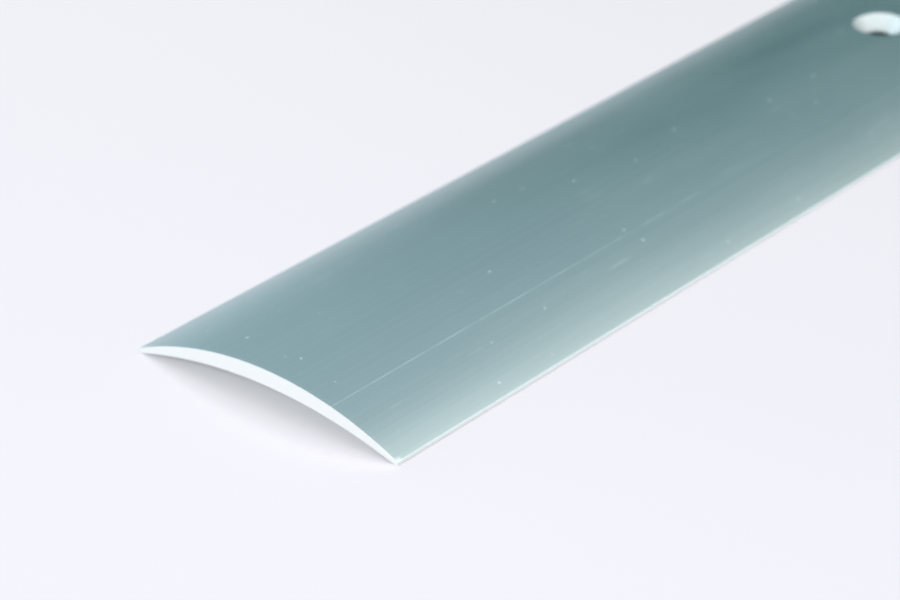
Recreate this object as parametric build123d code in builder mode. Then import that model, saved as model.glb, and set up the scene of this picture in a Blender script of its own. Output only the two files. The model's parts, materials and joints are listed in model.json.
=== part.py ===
from build123d import *
import os

# Domed threshold strip with its countersunk screws and wall plugs, in millimetres.
#
# The origin is on the finished floor under the middle of the strip. +X runs along the strip, +Y across
# it and +Z up. The strip rests on two narrow feet at Z = 0, and its fixings reach down into the floor.

# Strip: an extruded crescent section, thickest at the crown, with blunt long edges
STRIP_LENGTH = 1000.0
STRIP_WIDTH = 40.0
STRIP_HEIGHT = 5.0
CROWN_THICKNESS = 2.05
EDGE_HEIGHT = 0.5
EDGE_RADIUS = 0.1
FOOT_WIDTH = 0.5

# Screw holes: the bar is drilled at one pitch and cut midway between two holes
HOLE_COUNT = 4
HOLE_PITCH = STRIP_LENGTH / HOLE_COUNT
HOLE_DIAMETER = 3.8
COUNTERSINK_DIAMETER = 7.6
COUNTERSINK_ANGLE = 90.0

# Countersunk screw, 3.5 x 30
SCREW_LENGTH = 30.0
HEAD_DIAMETER = 6.8
HEAD_RIM = 0.25
SHANK_DIAMETER = 2.5
SHANK_END = 7.0
THREAD_DIAMETER = 3.5
THREAD_CORE = 2.3
THREAD_PITCH = 1.6
THREAD_CREST = 0.12
THREAD_FLANK = 0.9
THREAD_RUN_OUT = 1.5
THREAD_START_ANGLE = 37.0
TIP_LENGTH = 3.5
SEAT_GAP = 0.03

# Cross recess in the screw's head
RECESS_SPAN = 4.0
RECESS_FLOOR_SPAN = 1.8
RECESS_SLOT = 0.95
RECESS_DEPTH = 1.6

# Nylon wall plug, 6 x 30
PLUG_LENGTH = 30.0
PLUG_DIAMETER = 6.0
PLUG_BORE = 3.6
PLUG_BORE_DEPTH = 27.0
PLUG_NECK = 8.0
PLUG_TEETH = 6
PLUG_TOOTH_PITCH = 3.0
PLUG_TOOTH_DEPTH = 0.55
PLUG_NOSE_DIAMETER = 4.0
PLUG_SLIT_WIDTH = 1.0
PLUG_SLIT_LENGTH = 17.0
PLUG_SET_DEPTH = 0.5

half_width = STRIP_WIDTH / 2
foot_edge = half_width - FOOT_WIDTH
underside_height = STRIP_HEIGHT - CROWN_THICKNESS
hole_positions = [HOLE_PITCH * (i - (HOLE_COUNT - 1) / 2) for i in range(HOLE_COUNT)]

# The screw's head rests in the countersink, so its rim lies as far down as the two differ in radius
head_top = STRIP_HEIGHT - (COUNTERSINK_DIAMETER - HEAD_DIAMETER) / 2 + SEAT_GAP + HEAD_RIM
head_cone_depth = (HEAD_DIAMETER - SHANK_DIAMETER) / 2

os.makedirs("parts", exist_ok=True)


def export_piece(part, name):
    """Labels a finished piece and writes its STEP file."""
    part.label = name
    export_step(part, f"parts/{name}.step")


# Strip profile -------------------------------------------------------------------------------

with BuildPart() as strip_profile:
    with BuildSketch(Plane.YZ.offset(-STRIP_LENGTH / 2)):
        with BuildLine():
            ThreePointArc(
                (-half_width, EDGE_HEIGHT), (0, STRIP_HEIGHT), (half_width, EDGE_HEIGHT)
            )
            Polyline((half_width, EDGE_HEIGHT), (half_width, 0), (foot_edge, 0))
            ThreePointArc((foot_edge, 0), (0, underside_height), (-foot_edge, 0))
            Polyline((-foot_edge, 0), (-half_width, 0), (-half_width, EDGE_HEIGHT))
        make_face()
    extrude(amount=STRIP_LENGTH)
    long_edges = strip_profile.edges().filter_by(Axis.X)
    upper_edges = long_edges.group_by(Axis.Z)[-1]
    fillet(upper_edges, radius=EDGE_RADIUS)
    with Locations([(x, 0, STRIP_HEIGHT) for x in hole_positions]):
        CounterSinkHole(
            radius=HOLE_DIAMETER / 2,
            counter_sink_radius=COUNTERSINK_DIAMETER / 2,
            counter_sink_angle=COUNTERSINK_ANGLE,
        )
export_piece(strip_profile.part, "strip_profile")


# Screw, modelled with the top of its head at the origin and its tip pointing down -------------

tip_start = TIP_LENGTH - SCREW_LENGTH
thread_height = (THREAD_DIAMETER - THREAD_CORE) / 2
thread_root = 0.1
envelope_radius = THREAD_DIAMETER / 2 + 0.02

# The helical ridge, cut to an envelope that fades it in under the shank and out above the tip
with BuildPart() as thread:
    with BuildLine() as helix:
        Helix(
            pitch=THREAD_PITCH,
            height=-SHANK_END - tip_start + THREAD_PITCH,
            radius=THREAD_CORE / 2,
            center=(0, 0, tip_start - THREAD_PITCH),
        )
    with BuildSketch(Plane(origin=helix.line @ 0, x_dir=(1, 0, 0), z_dir=helix.line % 0)):
        with BuildLine():
            Polyline(
                (-thread_root, -THREAD_FLANK / 2),
                (thread_height, -THREAD_CREST / 2),
                (thread_height, THREAD_CREST / 2),
                (-thread_root, THREAD_FLANK / 2),
                close=True,
            )
        make_face()
    sweep(path=helix.line, is_frenet=True)
    with BuildSketch(Plane.XZ):
        with BuildLine():
            Polyline(
                (0, -SHANK_END),
                (THREAD_CORE / 2, -SHANK_END),
                (envelope_radius, -SHANK_END - THREAD_RUN_OUT),
                (envelope_radius, tip_start + THREAD_RUN_OUT),
                (THREAD_CORE / 2, tip_start),
                (0, tip_start),
                close=True,
            )
        make_face()
    revolve(axis=Axis.Z, mode=Mode.INTERSECT)

# The cross recess: two slots whose ends slope in towards the bottom
with BuildPart() as recess:
    with BuildSketch(Plane.XY.offset(-RECESS_DEPTH)):
        Rectangle(RECESS_SPAN, RECESS_SLOT)
        Rectangle(RECESS_SLOT, RECESS_SPAN)
    extrude(amount=RECESS_DEPTH)
    Cone(
        bottom_radius=RECESS_FLOOR_SPAN / 2,
        top_radius=RECESS_SPAN / 2,
        height=RECESS_DEPTH,
        align=(Align.CENTER, Align.CENTER, Align.MAX),
        mode=Mode.INTERSECT,
    )

with BuildPart() as screw:
    with BuildSketch(Plane.XZ):
        with BuildLine():
            Polyline(
                (0, 0),
                (HEAD_DIAMETER / 2, 0),
                (HEAD_DIAMETER / 2, -HEAD_RIM),
                (SHANK_DIAMETER / 2, -HEAD_RIM - head_cone_depth),
                (SHANK_DIAMETER / 2, -SHANK_END),
                (THREAD_CORE / 2, -SHANK_END),
                (THREAD_CORE / 2, tip_start),
                (0, -SCREW_LENGTH),
                close=True,
            )
        make_face()
    revolve(axis=Axis.Z)
    add(thread.part, rotation=(0, 0, THREAD_START_ANGLE))
    add(recess.part, mode=Mode.SUBTRACT)


# Wall plug, modelled with its mouth at the origin and its nose pointing down -------------------

plug_radius = PLUG_DIAMETER / 2
teeth_outline = []
for i in range(PLUG_TEETH):
    tooth_top = -PLUG_NECK - i * PLUG_TOOTH_PITCH
    teeth_outline.append((plug_radius, tooth_top))
    teeth_outline.append((plug_radius - PLUG_TOOTH_DEPTH, tooth_top))

with BuildPart() as plug:
    with BuildSketch(Plane.XZ):
        with BuildLine():
            Polyline(
                (0, 0),
                (plug_radius, 0),
                *teeth_outline,
                (plug_radius, -PLUG_NECK - PLUG_TEETH * PLUG_TOOTH_PITCH),
                (PLUG_NOSE_DIAMETER / 2, -PLUG_LENGTH),
                (0, -PLUG_LENGTH),
                close=True,
            )
        make_face()
    revolve(axis=Axis.Z)
    Hole(radius=PLUG_BORE / 2, depth=PLUG_BORE_DEPTH)
    with Locations((0, 0, -PLUG_NECK)):
        Box(
            PLUG_SLIT_WIDTH,
            PLUG_DIAMETER,
            PLUG_SLIT_LENGTH,
            align=(Align.CENTER, Align.CENTER, Align.MAX),
            mode=Mode.SUBTRACT,
        )


# Fixings in place: a plug under every hole, and a screw in every hole but the first ------------

for number, x in enumerate(hole_positions, start=1):
    with BuildPart() as placed_plug:
        with Locations((x, 0, -PLUG_SET_DEPTH)):
            add(plug.part)
    export_piece(placed_plug.part, f"wall_plug_{number}")

for number, x in enumerate(hole_positions[1:], start=2):
    with BuildPart() as placed_screw:
        with Locations((x, 0, head_top)):
            add(screw.part)
    export_piece(placed_screw.part, f"screw_{number}")
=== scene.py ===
import json
import math

import bmesh
import bpy
from mathutils import Matrix, Vector


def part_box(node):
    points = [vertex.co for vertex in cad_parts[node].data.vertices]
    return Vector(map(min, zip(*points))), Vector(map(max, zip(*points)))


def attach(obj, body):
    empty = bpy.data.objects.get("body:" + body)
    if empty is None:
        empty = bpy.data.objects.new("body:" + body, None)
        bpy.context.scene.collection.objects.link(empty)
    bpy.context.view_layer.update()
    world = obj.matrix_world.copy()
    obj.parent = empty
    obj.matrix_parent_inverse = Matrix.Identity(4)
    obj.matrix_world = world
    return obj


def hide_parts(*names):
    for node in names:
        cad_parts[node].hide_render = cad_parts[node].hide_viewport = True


# The look of a domed aluminium threshold strip: satin anodised on top, bare where it was cut and drilled.
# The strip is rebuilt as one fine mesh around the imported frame. The screws and wall plugs stay as packed
# and get their own materials.

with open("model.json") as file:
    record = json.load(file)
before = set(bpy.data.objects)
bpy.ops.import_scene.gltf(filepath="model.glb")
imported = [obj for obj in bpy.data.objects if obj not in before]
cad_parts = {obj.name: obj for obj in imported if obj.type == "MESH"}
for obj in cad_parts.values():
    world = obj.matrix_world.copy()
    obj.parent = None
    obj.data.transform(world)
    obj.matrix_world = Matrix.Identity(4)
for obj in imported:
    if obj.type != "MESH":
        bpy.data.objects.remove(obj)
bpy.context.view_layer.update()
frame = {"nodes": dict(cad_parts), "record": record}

MM = 0.001

# Strip section, in metres; its outer size comes from the frame
strip_low, strip_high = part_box("strip_profile")
LENGTH = strip_high.x - strip_low.x
HALF_WIDTH = (strip_high.y - strip_low.y) / 2
HEIGHT = strip_high.z - strip_low.z
CROWN_THICKNESS = 2.05 * MM
EDGE_HEIGHT = 0.5 * MM
EDGE_ROUNDING = 0.1 * MM
FOOT_WIDTH = 0.5 * MM
FOOT_ROUNDING = 0.08 * MM
CUT_ROUNDING = 0.07 * MM

# Screw holes: their places along the strip, and a softened rim on each countersink
HOLES = [m["pos_m"][0] for m in frame["record"]["mounts"] if m["name"].startswith("plug_neck")]
HOLE_RADIUS = 1.9 * MM
COUNTERSINK_RADIUS = 3.8 * MM
RIM_ROUNDING = 0.05 * MM
LIP_DROP = RIM_ROUNDING / 4

# Mesh fineness: a square patch around each hole, even columns beside it, and steps around each rounding
# and down each countersink
PATCH_HALF = 6.0 * MM
PATCH_STEPS = 16
SIDE_COLUMNS = 26
ROUNDING_STEPS = 3
CONE_STEPS = 5

# Shading: edges that turn by more than this stay sharp, and large faces lead the normals fully
SHARP_ANGLE = math.radians(40)
NORMAL_WEIGHT = 100

# Where the rings of a hole patch lie, as shares of the way from the patch's border to the hole
TOP_RING_SHARES = (0.3, 0.6, 0.85)
UNDER_RING_SHARES = (0.75, 0.4)

# The angle around a hole of its patch's first corner
FIRST_CORNER = math.radians(225)

# How far in from the long edge the top's slope is taken, and how far in from a cut end its first plain
# section lies
SLOPE_REACH = 1.0 * MM
END_REACH = 1.0 * MM

# Rounds of the calculation that finds a countersink's rim, and the gap below which two places are one
RIM_ROUNDS = 6
SAME_PLACE = 1e-9


# Strip mesh ----------------------------------------------------------------------------------


class Arc:
    """An arch over the strip's width, from a height at its two ends up to its crown."""

    def __init__(self, half_width, base, crown):
        rise = crown - base
        self.radius = (half_width**2 + rise**2) / (2 * rise)
        self.centre = crown - self.radius

    def height(self, y):
        return self.centre + math.sqrt(self.radius**2 - y**2)


outer_arc = Arc(HALF_WIDTH, EDGE_HEIGHT, HEIGHT)
inner_arc = Arc(HALF_WIDTH - FOOT_WIDTH, 0.0, HEIGHT - CROWN_THICKNESS)


def round_corner(before, corner, after, radius):
    """The points of a rounded corner between two straight sides, from before's side to after's."""
    to_before = (before - corner).normalized()
    to_after = (after - corner).normalized()
    half_angle = to_before.angle(to_after) / 2
    reach = radius / math.tan(half_angle)
    bisector = (to_before + to_after).normalized()
    centre = corner + bisector * radius / math.sin(half_angle)
    first = corner + to_before * reach - centre
    last = corner + to_after * reach - centre
    turn = first.angle(last)
    points = []
    for step in range(ROUNDING_STEPS + 1):
        share = step / ROUNDING_STEPS
        spoke = first * math.sin((1 - share) * turn) + last * math.sin(share * turn)
        points.append(centre + spoke / math.sin(turn))
    return points


def columns(half_width):
    """Positions across the strip: even steps over the hole patches, and even steps beside them."""
    side = [PATCH_HALF + (half_width - PATCH_HALF) * i / SIDE_COLUMNS for i in range(1, SIDE_COLUMNS + 1)]
    middle = [PATCH_HALF * (2 * i / PATCH_STEPS - 1) for i in range(PATCH_STEPS + 1)]
    return [-y for y in reversed(side)] + middle + side


def section():
    """The closed outline as (y, z) points, with the places in it of the top's and underside's columns."""
    edge = Vector((HALF_WIDTH, EDGE_HEIGHT))
    below_edge = Vector((HALF_WIDTH, 0.0))
    inner_foot = Vector((HALF_WIDTH - FOOT_WIDTH, 0.0))
    inside = Vector((HALF_WIDTH - SLOPE_REACH, outer_arc.height(HALF_WIDTH - SLOPE_REACH)))
    upper = round_corner(inside, edge, below_edge, EDGE_ROUNDING)
    lower = round_corner(edge, below_edge, inner_foot, FOOT_ROUNDING)
    top = [Vector((y, outer_arc.height(y))) for y in columns(upper[0].x)]
    underside = [Vector((y, inner_arc.height(y))) for y in columns(inner_foot.x)]
    far_side = upper[1:] + lower
    near_side = [Vector((-p.x, p.y)) for p in reversed(far_side)]
    outline = top + far_side + list(reversed(underside)) + near_side
    top_places = list(range(len(top)))
    first_under = len(top) + len(far_side)
    under_places = [first_under + len(underside) - 1 - i for i in range(len(underside))]
    return outline, top_places, under_places


def inset(outline, distance):
    """The outline moved inwards by a small distance."""
    moved = []
    for i, point in enumerate(outline):
        along = (outline[(i + 1) % len(outline)] - outline[i - 1]).normalized()
        moved.append(point + Vector((along.y, -along.x)) * distance)
    return moved


def stations():
    """(x, inset) of each section along the strip: rounded cut ends, and even steps over each hole patch."""
    end = []
    for step in range(ROUNDING_STEPS, -1, -1):
        angle = math.radians(90) * step / ROUNDING_STEPS
        x = -LENGTH / 2 + CUT_ROUNDING * (1 - math.sin(angle))
        end.append((x, CUT_ROUNDING * (1 - math.cos(angle))))
    inner = [(-LENGTH / 2 + END_REACH, 0.0)]
    for hole in HOLES:
        for i in range(PATCH_STEPS + 1):
            inner.append((hole + PATCH_HALF * (2 * i / PATCH_STEPS - 1), 0.0))
    inner.append((LENGTH / 2 - END_REACH, 0.0))
    return end + inner + [(-x, depth) for x, depth in reversed(end)]


def rim_radius(angle):
    """How far from the hole's middle the countersink meets the arched top, at an angle around the hole."""
    radius = COUNTERSINK_RADIUS
    for _ in range(RIM_ROUNDS):
        radius = COUNTERSINK_RADIUS - HEIGHT + outer_arc.height(radius * math.sin(angle))
    return radius


# The strip's material slots
ANODISED, CUT, DRILLED = range(3)


class StripMesh:
    """Builds the strip's faces on a grid of sections, with a square patch of rings around each hole."""

    def __init__(self):
        self.bm = bmesh.new()
        self.outline, self.top, self.under = section()
        self.stations = stations()
        self.made = {}
        self.patch_columns = range(SIDE_COLUMNS, SIDE_COLUMNS + PATCH_STEPS)

    def corner(self, station, place):
        """The vertex at a place in the outline of one station, made when it is first asked for."""
        place %= len(self.outline)
        if (station, place) not in self.made:
            x, depth = self.stations[station]
            outline = inset(self.outline, depth) if depth else self.outline
            self.made[station, place] = self.bm.verts.new((x, *outline[place]))
        return self.made[station, place]

    def face(self, corners, material):
        self.bm.faces.new(corners).material_index = material

    def bands(self, rings, material):
        """Quads between each closed ring of vertices and the next."""
        for first, second in zip(rings, rings[1:]):
            for i in range(len(first)):
                k = (i + 1) % len(first)
                self.face([first[i], first[k], second[k], second[i]], material)

    def skin(self):
        """The long surfaces and the rounded cut ends, left open where the hole patches go."""
        skipped = {self.top[c] for c in self.patch_columns}
        skipped |= {self.under[c + 1] for c in self.patch_columns}
        last = len(self.stations) - 1
        for s in range(last):
            middle = (self.stations[s][0] + self.stations[s + 1][0]) / 2
            at_hole = any(abs(middle - hole) < PATCH_HALF for hole in HOLES)
            material = CUT if s < ROUNDING_STEPS or s >= last - ROUNDING_STEPS else ANODISED
            for place in range(len(self.outline)):
                if at_hole and place in skipped:
                    continue
                corners = [
                    self.corner(s, place),
                    self.corner(s, place + 1),
                    self.corner(s + 1, place + 1),
                    self.corner(s + 1, place),
                ]
                self.face(corners, material)

    def caps(self):
        """The two cut end faces: quads between the top and the underside, and one face at each edge."""
        for s in (0, len(self.stations) - 1):
            for c in range(len(self.top) - 1):
                places = [self.top[c], self.top[c + 1], self.under[c + 1], self.under[c]]
                self.face([self.corner(s, p) for p in places], CUT)
            far = range(self.top[-1], self.under[-1] + 1)
            near = range(self.under[0], len(self.outline) + 1)
            for side in (far, near):
                self.face([self.corner(s, p) for p in side], CUT)

    def patch_border(self, hole, places):
        """The vertices around a hole's square patch, and each one's angle around the hole."""
        start = hole - PATCH_HALF
        first = next(s for s, (x, _) in enumerate(self.stations) if abs(x - start) < SAME_PLACE)
        steps = range(PATCH_STEPS)
        low = self.patch_columns[0]
        ring = [(first + i, low) for i in steps]
        ring += [(first + PATCH_STEPS, low + i) for i in steps]
        ring += [(first + PATCH_STEPS - i, low + PATCH_STEPS) for i in steps]
        ring += [(first, low + PATCH_STEPS - i) for i in steps]
        count = len(ring)
        angles = [FIRST_CORNER + 2 * math.pi * i / count for i in range(count)]
        return [self.corner(s, places[c]) for s, c in ring], angles

    def ring(self, hole, angles, radii, height):
        """A ring around a hole, with a radius for each angle; height is a function of the radius and y."""
        made = []
        for angle, radius in zip(angles, radii):
            y = radius * math.sin(angle)
            made.append(self.bm.verts.new((hole + radius * math.cos(angle), y, height(radius, y))))
        return made

    def between(self, border, inner, shares, arc):
        """Rings on an arched surface, at shares of the way from a patch's border to its inner ring."""
        rings = []
        for share in shares:
            places = [start.co.lerp(end.co, share) for start, end in zip(border, inner)]
            rings.append([self.bm.verts.new((x, y, arc.height(y))) for x, y, _ in places])
        return rings

    def hole(self, x):
        """One countersunk hole: patches on the top and underside, the cone, and the short straight wall."""

        def on_top(radius, y):
            return outer_arc.height(y)

        def on_cone(radius, y):
            return HEIGHT - COUNTERSINK_RADIUS + radius

        def on_underside(radius, y):
            return inner_arc.height(y)

        border, angles = self.patch_border(x, self.top)
        rim_radii = [rim_radius(angle) for angle in angles]
        wall_radii = [HOLE_RADIUS] * len(angles)

        rim = self.ring(x, angles, [radius + RIM_ROUNDING for radius in rim_radii], on_top)
        rings = self.between(border, rim, TOP_RING_SHARES, outer_arc)
        self.bands([border, *rings, rim], ANODISED)

        lip = self.ring(x, angles, rim_radii, lambda radius, y: on_cone(radius, y) - LIP_DROP)
        cone = []
        for step in range(CONE_STEPS + 1):
            share = step / CONE_STEPS
            radii = []
            for radius in rim_radii:
                outermost = radius - RIM_ROUNDING
                radii.append(outermost + (HOLE_RADIUS + RIM_ROUNDING - outermost) * share)
            cone.append(self.ring(x, angles, radii, on_cone))
        throat = self.ring(x, angles, wall_radii, lambda radius, y: on_cone(radius, y) - RIM_ROUNDING)
        mouth = self.ring(x, angles, wall_radii, on_underside)
        self.bands([rim, lip, *cone, throat, mouth], DRILLED)

        border, _ = self.patch_border(x, self.under)
        rings = self.between(border, mouth, UNDER_RING_SHARES, inner_arc)
        self.bands([mouth, *rings, border], ANODISED)

    def build(self, name):
        """Makes all the faces and turns them into an object in the scene."""
        self.skin()
        self.caps()
        for hole in HOLES:
            self.hole(hole)
        bmesh.ops.recalc_face_normals(self.bm, faces=self.bm.faces)
        mesh = bpy.data.meshes.new(name)
        self.bm.to_mesh(mesh)
        self.bm.free()
        mesh.shade_smooth()
        mesh.set_sharp_from_angle(angle=SHARP_ANGLE)
        piece = bpy.data.objects.new(name, mesh)
        bpy.context.scene.collection.objects.link(piece)
        weighted = piece.modifiers.new("face_weighted_normals", "WEIGHTED_NORMAL")
        weighted.keep_sharp = True
        weighted.weight = NORMAL_WEIGHT
        return piece


strip = StripMesh().build("anodised_strip")
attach(strip, "strip")
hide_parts("strip_profile")


# Materials -----------------------------------------------------------------------------------

# Colours, as red, green, blue and alpha
SATIN_DEEP = (0.625, 0.705, 0.715, 1)
SATIN_PALE = (0.695, 0.775, 0.785, 1)
SATIN_CLOUD = (0.66, 0.755, 0.745, 1)
SATIN_MARK = (0.93, 0.97, 0.97, 1)
# Paler colour painted along the long edges as a highlight
SATIN_EDGE_HIGHLIGHT = (0.80, 0.83, 0.84, 1)
SAWN_DEEP = (0.636, 0.598, 0.612, 1)
SAWN_PALE = (0.70, 0.663, 0.675, 1)
DRILLED_METAL = (0.655, 0.665, 0.67, 1)
STEEL_DEEP = (0.60, 0.61, 0.60, 1)
STEEL_PALE = (0.72, 0.72, 0.70, 1)
STEEL_BLOTCH = (0.60, 0.60, 0.53, 1)
NYLON_DEEP = (0.50, 0.51, 0.52, 1)
NYLON_PALE = (0.58, 0.59, 0.60, 1)

# Bare aluminium at the cut ends and in the holes, and the painted highlight along the long edges, are made
# less metallic than the satin finish, so that they look pale from all sides
EDGE_HIGHLIGHT_METAL = 0.45
SAWN_METAL = 0.5
HOLE_METAL = 0.6

# The die line's place across the strip, and how far from the near end it fades
DIE_LINE_Y = -10.2 * MM
DIE_LINE_HALF_WIDTH = 0.075 * MM
DIE_LINE_CLEAR_UNTIL = 35 * MM
DIE_LINE_GONE_AFTER = 110 * MM

# Specks: the spacing of the cells that hold them, the largest one's radius, and the share of empty cells
SPECK_SPACING = 5 * MM
SPECK_RADIUS = 0.26 * MM
SPECK_EMPTY_SHARE = 0.35

# The painted highlight along each long edge: how far in from the edge it begins, and where it is at full
# strength
EDGE_HIGHLIGHT_BEGINS = 0.12 * MM
EDGE_HIGHLIGHT_FULL = 0.06 * MM

# Distance between the turned rings on a screw's head
TURNED_RING_STEP = 0.16 * MM


class Nodes:
    """A shader node tree, with short calls for the nodes used here."""

    def __init__(self, owner, shader):
        owner.use_nodes = True
        self.owner = owner
        self.tree = owner.node_tree
        self.shader = self.tree.nodes[shader]

    def add(self, kind, **values):
        node = self.tree.nodes.new(kind)
        for key, value in values.items():
            setattr(node, key, value)
        return node

    def put(self, socket, value):
        """Links a node's output into a socket, or sets a plain value."""
        if isinstance(value, bpy.types.NodeSocket):
            self.tree.links.new(value, socket)
        else:
            socket.default_value = value

    def set(self, **values):
        """Sets or links inputs of the shader; a space in an input's name is written as an underscore."""
        for key, value in values.items():
            self.put(self.shader.inputs[key.replace("_", " ")], value)

    def place(self):
        """The point being shaded, in metres."""
        return self.add("ShaderNodeTexCoord").outputs["Object"]

    def axis(self, vector, name):
        node = self.add("ShaderNodeSeparateXYZ")
        self.put(node.inputs[0], vector)
        return node.outputs[name]

    def math(self, operation, *inputs):
        node = self.add("ShaderNodeMath", operation=operation)
        for socket, value in zip(node.inputs, inputs):
            self.put(socket, value)
        return node.outputs[0]

    def plus(self, first, share, second):
        """first + share * second."""
        return self.math("ADD", first, self.math("MULTIPLY", second, share))

    def noise(self, place, per_metre, detail, roughness=0.5):
        """Smooth noise from 0 to 1, with its own number of features per metre along each axis."""
        scaled = self.add("ShaderNodeMapping")
        self.put(scaled.inputs["Vector"], place)
        scaled.inputs["Scale"].default_value = per_metre
        node = self.add("ShaderNodeTexNoise")
        self.put(node.inputs["Vector"], scaled.outputs[0])
        node.inputs["Scale"].default_value = 1.0
        node.inputs["Detail"].default_value = detail
        node.inputs["Roughness"].default_value = roughness
        return node.outputs["Fac"]

    def ranged(self, value, low, high, to_low=0.0, to_high=1.0, smooth=False):
        """Maps low to to_low and high to to_high, and stays within those two."""
        kind = "SMOOTHSTEP" if smooth else "LINEAR"
        node = self.add("ShaderNodeMapRange", interpolation_type=kind)
        for socket, number in zip(node.inputs, (value, low, high, to_low, to_high)):
            self.put(socket, number)
        return node.outputs[0]

    def mix(self, share, first, second, blend="MIX"):
        """A mix of two colours, from the first at share 0 to the second at share 1."""
        node = self.add("ShaderNodeMix", data_type="RGBA", blend_type=blend)
        self.put(node.inputs["Factor"], share)
        colours = [socket for socket in node.inputs if socket.type == "RGBA"]
        for socket, value in zip(colours, (first, second)):
            self.put(socket, value)
        return next(socket for socket in node.outputs if socket.type == "RGBA")

    def bump(self, height, distance, strength):
        node = self.add("ShaderNodeBump")
        node.inputs["Strength"].default_value = strength
        node.inputs["Distance"].default_value = distance
        self.put(node.inputs["Height"], height)
        return node.outputs[0]


def material_nodes(name):
    return Nodes(bpy.data.materials.new(name), "Principled BSDF")


def die_line(n, place):
    """A fine raised line that the extrusion die left along the strip, fading away from the near end."""
    offset = n.math("ABSOLUTE", n.math("SUBTRACT", n.axis(place, "Y"), DIE_LINE_Y))
    across = n.ranged(offset, 0.0, DIE_LINE_HALF_WIDTH, to_low=1.0, to_high=0.0, smooth=True)
    from_end = n.math("SUBTRACT", n.axis(place, "X"), strip_low.x)
    fade = n.ranged(from_end, DIE_LINE_CLEAR_UNTIL, DIE_LINE_GONE_AFTER, to_low=1.0, to_high=0.0)
    patches = n.noise(place, per_metre=(260, 0, 0), detail=3)
    broken = n.ranged(patches, 0.42, 0.55, to_low=0.4)
    return n.math("MULTIPLY", n.math("MULTIPLY", across, fade), broken)


def specks(n, place):
    """Small round marks scattered over the surface, with some left out."""
    largest = SPECK_RADIUS / SPECK_SPACING
    node = n.add("ShaderNodeTexVoronoi", voronoi_dimensions="2D")
    n.put(node.inputs["Vector"], place)
    node.inputs["Scale"].default_value = 1 / SPECK_SPACING
    chance = n.axis(node.outputs["Color"], "X")
    size = n.ranged(chance, SPECK_EMPTY_SHARE, 1.0, to_high=largest)
    inside = n.math("SUBTRACT", node.outputs["Distance"], size)
    return n.ranged(inside, -largest / 2, 0.0, to_low=1.0, to_high=0.0)


def scratches(n, place):
    """Short fine scratches along the strip."""
    lines = n.noise(place, per_metre=(110, 3200, 0), detail=1)
    return n.ranged(lines, 0.72, 0.82, to_high=0.6)


def painted_edge_highlight(n, place):
    """1 on the blunt long edges, where a paler, less metallic band is painted as a highlight."""
    from_middle = n.math("ABSOLUTE", n.axis(place, "Y"))
    return n.ranged(from_middle, HALF_WIDTH - EDGE_HIGHLIGHT_BEGINS, HALF_WIDTH - EDGE_HIGHLIGHT_FULL)


def anodised_aluminium():
    """Satin anodised metal: fine streaks along the strip, a cloudy tint, a grain, marks of handling, and a
    painted highlight along the long edges.
    """
    n = material_nodes("anodised_aluminium")
    place = n.place()
    streaks = n.noise(place, per_metre=(6, 2600, 2600), detail=4, roughness=0.6)
    grain = n.noise(place, per_metre=(9000, 9000, 9000), detail=2)
    cloud = n.noise(place, per_metre=(30, 110, 110), detail=3)
    marks = n.math("MAXIMUM", specks(n, place), scratches(n, place))
    marks = n.math("MAXIMUM", marks, die_line(n, place))
    # Painted highlight along the long edges
    edge_highlight = painted_edge_highlight(n, place)
    colour = n.mix(n.ranged(streaks, 0.3, 0.7), SATIN_DEEP, SATIN_PALE)
    colour = n.mix(n.math("MULTIPLY", cloud, 0.5), colour, SATIN_CLOUD)
    colour = n.mix(n.math("MULTIPLY", marks, 0.5), colour, SATIN_MARK)
    # Painted highlight: the long edges are made paler and less metallic, so that they show as a bright line
    colour = n.mix(edge_highlight, colour, SATIN_EDGE_HIGHLIGHT)
    marks_and_edge_highlight = n.math("MAXIMUM", edge_highlight, n.math("MULTIPLY", marks, 0.6))
    metallic = n.ranged(marks_and_edge_highlight, 0.0, 1.0, to_low=1.0, to_high=EDGE_HIGHLIGHT_METAL)
    roughness = n.ranged(n.plus(cloud, 0.5, grain), 0.5, 1.0, to_low=0.30, to_high=0.36)
    height = n.plus(n.plus(streaks, 0.6, grain), 2.0, marks)
    n.set(Base_Color=colour, Metallic=metallic, Roughness=roughness)
    n.set(Normal=n.bump(height, distance=0.002 * MM, strength=0.6))
    return n.owner


def sawn_aluminium():
    """Bare metal at the cut ends, with fine marks of the saw."""
    n = material_nodes("sawn_aluminium")
    marks = n.noise(n.place(), per_metre=(1000, 5200, 700), detail=3)
    n.set(Base_Color=n.mix(marks, SAWN_DEEP, SAWN_PALE), Metallic=SAWN_METAL)
    n.set(Roughness=n.ranged(marks, 0.3, 0.7, to_low=0.45, to_high=0.6))
    n.set(Normal=n.bump(marks, distance=0.004 * MM, strength=0.5))
    return n.owner


def drilled_aluminium():
    """Bare metal in the holes and countersinks, with fine marks of the drill."""
    n = material_nodes("drilled_aluminium")
    marks = n.noise(n.place(), per_metre=(3000, 3000, 9000), detail=3)
    n.set(Base_Color=DRILLED_METAL, Metallic=HOLE_METAL)
    n.set(Roughness=n.ranged(marks, 0.3, 0.7, to_low=0.5, to_high=0.65))
    n.set(Normal=n.bump(marks, distance=0.004 * MM, strength=0.5))
    return n.owner


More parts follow.
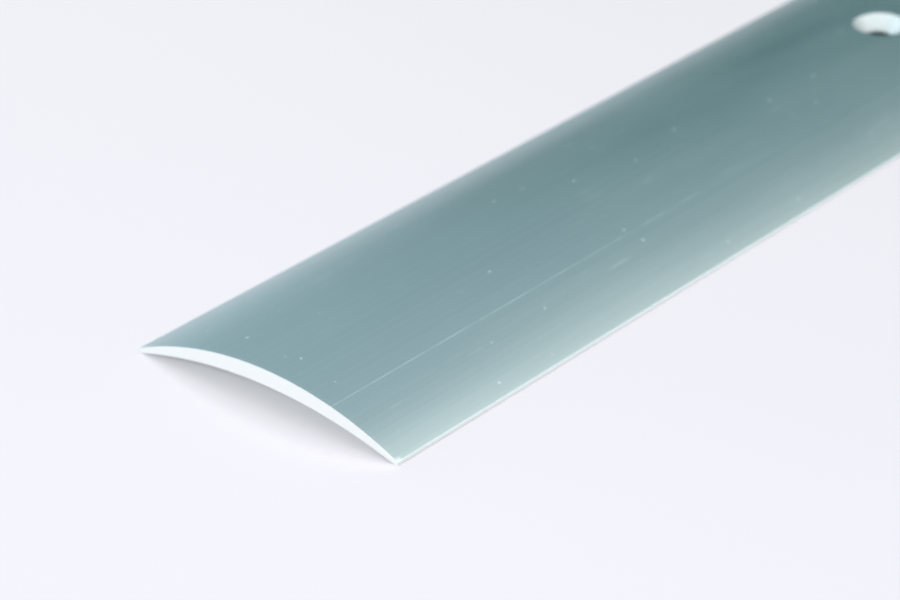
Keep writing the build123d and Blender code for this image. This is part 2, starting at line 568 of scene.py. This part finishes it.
def screw_steel():
    """Zinc-plated steel: a mottled tone, and the fine turned rings of a machined head."""
    n = material_nodes("screw_steel")
    place = n.place()
    pitch = HOLES[1] - HOLES[0]
    from_hole = n.math("SUBTRACT", n.axis(place, "X"), HOLES[0])
    along = n.math("WRAP", from_hole, -pitch / 2, pitch / 2)
    across = n.axis(place, "Y")
    squares = n.math("ADD", n.math("MULTIPLY", along, along), n.math("MULTIPLY", across, across))
    radius = n.math("SQRT", squares)
    rings = n.math("SINE", n.math("MULTIPLY", radius, 2 * math.pi / TURNED_RING_STEP))
    tone = n.noise(place, per_metre=(900, 900, 900), detail=4)
    blotch = n.noise(place, per_metre=(260, 260, 260), detail=2)
    colour = n.mix(tone, STEEL_DEEP, STEEL_PALE)
    colour = n.mix(n.ranged(blotch, 0.45, 0.65, to_high=0.5), colour, STEEL_BLOTCH)
    n.set(Base_Color=colour, Metallic=1.0)
    n.set(Roughness=n.ranged(tone, 0.3, 0.7, to_low=0.22, to_high=0.36))
    n.set(Normal=n.bump(n.plus(tone, 0.15, rings), distance=0.01 * MM, strength=0.4))
    return n.owner


def plug_nylon():
    """Grey moulded nylon with a faint mottle."""
    n = material_nodes("plug_nylon")
    tone = n.noise(n.place(), per_metre=(700, 700, 700), detail=4)
    n.set(Base_Color=n.mix(tone, NYLON_DEEP, NYLON_PALE))
    n.set(Roughness=n.ranged(tone, 0.3, 0.7, to_low=0.45, to_high=0.6))
    n.set(Normal=n.bump(tone, distance=0.02 * MM, strength=0.4))
    return n.owner


def paint(piece, *materials):
    """Fills a piece's material slots in order; the faces keep the slots they use."""
    slots = piece.data.materials
    for place, material in enumerate(materials):
        if place < len(slots):
            slots[place] = material
        else:
            slots.append(material)


paint(strip, anodised_aluminium(), sawn_aluminium(), drilled_aluminium())
steel, nylon = screw_steel(), plug_nylon()
for name, node in frame["nodes"].items():
    if name.startswith("screw"):
        paint(node, steel)
    if name.startswith("wall_plug"):
        paint(node, nylon)


# Stage ---------------------------------------------------------------------------------------

# The floor: half its side and the width of its change of tone, in metres; its roughness; and its tones
# behind and in front of the strip's near end
FLOOR_HALF = 30.0
FLOOR_FADE = 0.8
FLOOR_ROUGHNESS = 0.22
FLOOR_DEEP = (0.687, 0.592, 0.610, 1)
FLOOR_PALE = (0.697, 0.602, 0.620, 1)
FLOOR_FRONT = (0.697, 0.600, 0.658, 1)

# Parts of the tent, as seen from the strip: a direction, an even core, how far the fade around it
# reaches, and a colour. Angles are in degrees; azimuth 0 is +X and 90 is +Y.
LIGHTS = {
    "overhead": {"azimuth": 200, "elevation": 80, "core": 10, "reach": 38, "colour": (0.9, 0.6, 0.6)},
    "key": {"azimuth": 315, "elevation": 51, "core": 2, "reach": 36, "colour": (1.83, 1.68, 1.53)},
    "window": {"azimuth": 95, "elevation": 27, "core": 4, "reach": 34, "colour": (1.2, 1.6, 1.9)},
}
OPENING = {"azimuth": 5, "elevation": -5, "core": 38, "reach": 53, "colour": (0.03, 0.12, 0.11)}
TENT_COLOUR = (0.43, 0.575, 0.63)
BACKDROP_COLOUR = (0.88, 0.89, 0.92)

# The wide lamp on the near end's side: its direction and spread, its strength and its colour
FILL = {"azimuth": 188, "elevation": 24, "spread": 44, "strength": 5.34, "colour": (0.84, 1.0, 0.946)}

# Where the camera stands, from the middle of the strip's near end, and the point it focuses on, from the
# low corner of the strip's box
CAMERA_OFFSET = Vector((-227.58, -220.47, 185.73)) * MM
FOCUS_OFFSET = Vector((-10, -10, 5)) * MM

# Which way it looks, in degrees, with its lens, and the nearest and farthest it sees, in metres
CAMERA_HEADING = 40.27
CAMERA_DIP = 28.55
CAMERA_ROLL = -0.33
CAMERA_SENSOR_MM = 36.0
CAMERA_LENS_MM = 129.4
CAMERA_F_STOP = 45.0
CAMERA_RANGE = (0.01, 200.0)


def pale_floor():
    """Smooth pale board, a shade bluer in front of the strip's near end than behind it."""
    n = material_nodes("pale_floor")
    place = n.place()
    tone = n.noise(place, per_metre=(6, 6, 6), detail=3)
    board = n.mix(tone, FLOOR_DEEP, FLOOR_PALE)
    forward = n.math("SUBTRACT", strip_low.x, n.math("ADD", n.axis(place, "X"), n.axis(place, "Y")))
    in_front = n.ranged(forward, -FLOOR_FADE / 2, FLOOR_FADE / 2, smooth=True)
    n.set(Base_Color=n.mix(in_front, board, FLOOR_FRONT), Roughness=FLOOR_ROUGHNESS)
    return n.owner


def make_floor():
    bm = bmesh.new()
    for x, y in ((-1, -1), (1, -1), (1, 1), (-1, 1)):
        bm.verts.new((x * FLOOR_HALF, y * FLOOR_HALF, 0.0))
    bm.faces.new(bm.verts)
    mesh = bpy.data.meshes.new("floor")
    bm.to_mesh(mesh)
    bm.free()
    floor = bpy.data.objects.new("floor", mesh)
    bpy.context.scene.collection.objects.link(floor)
    paint(floor, pale_floor())


def towards(azimuth, elevation):
    """The unit vector of a direction given in degrees."""
    azimuth, elevation = math.radians(azimuth), math.radians(elevation)
    level = math.cos(elevation)
    return Vector((level * math.cos(azimuth), level * math.sin(azimuth), math.sin(elevation)))


def soft_disc(n, direction, disc):
    """1 within a disc's core in the sky, falling smoothly to 0 at its reach."""
    dot = n.add("ShaderNodeVectorMath", operation="DOT_PRODUCT")
    n.put(dot.inputs[0], direction)
    dot.inputs[1].default_value = towards(disc["azimuth"], disc["elevation"])
    angle = n.math("ARCCOSINE", dot.outputs["Value"])
    return n.ranged(angle, math.radians(disc["reach"]), math.radians(disc["core"]), smooth=True)


def make_world():
    """A pale tent with soft lights and a dark opening past the strip; the camera sees a plain backdrop."""
    world = bpy.data.worlds.new("studio")
    bpy.context.scene.world = world
    n = Nodes(world, "Background")
    direction = n.add("ShaderNodeTexCoord").outputs["Generated"]
    light = n.mix(soft_disc(n, direction, OPENING), (*TENT_COLOUR, 1), (*OPENING["colour"], 1))
    for lamp in LIGHTS.values():
        glow = n.mix(soft_disc(n, direction, lamp), (0, 0, 0, 1), (*lamp["colour"], 1))
        light = n.mix(1.0, light, glow, "ADD")
    seen = n.add("ShaderNodeLightPath").outputs["Is Camera Ray"]
    n.set(Color=n.mix(seen, light, (*BACKDROP_COLOUR, 1)))


def make_fill():
    """A wide soft lamp on the side of the strip's near end, kept out of reflections."""
    data = bpy.data.lights.new("fill", "SUN")
    data.energy = FILL["strength"]
    data.color = FILL["colour"]
    data.angle = math.radians(FILL["spread"])
    lamp = bpy.data.objects.new("fill", data)
    direction = towards(FILL["azimuth"], FILL["elevation"])
    lamp.matrix_world = direction.to_track_quat("Z", "Y").to_matrix().to_4x4()
    lamp.visible_glossy = False
    bpy.context.scene.collection.objects.link(lamp)


def make_camera():
    """A long lens over the strip's near end, looking along and down on it."""
    data = bpy.data.cameras.new("camera")
    data.sensor_width = CAMERA_SENSOR_MM
    data.lens = CAMERA_LENS_MM
    data.clip_start, data.clip_end = CAMERA_RANGE
    camera = bpy.data.objects.new("camera", data)
    roll = math.radians(CAMERA_ROLL)
    forward = towards(CAMERA_HEADING, -CAMERA_DIP)
    right = forward.cross(Vector((0, 0, 1))).normalized()
    up = right.cross(forward)
    turned_right = right * math.cos(roll) + up * math.sin(roll)
    turned_up = up * math.cos(roll) - right * math.sin(roll)
    rotation = Matrix((turned_right, turned_up, -forward)).transposed()
    near_end = Vector((strip_low.x, 0.0, 0.0))
    camera.matrix_world = Matrix.Translation(near_end + CAMERA_OFFSET) @ rotation.to_4x4()
    bpy.context.scene.collection.objects.link(camera)
    bpy.context.scene.camera = camera
    focus = bpy.data.objects.new("focus", None)
    focus.location = strip_low + FOCUS_OFFSET
    bpy.context.scene.collection.objects.link(focus)
    data.dof.use_dof = True
    data.dof.focus_object = focus
    data.dof.aperture_fstop = CAMERA_F_STOP


make_floor()
make_world()
make_fill()
make_camera()
bpy.context.scene.view_settings.view_transform = "Standard"
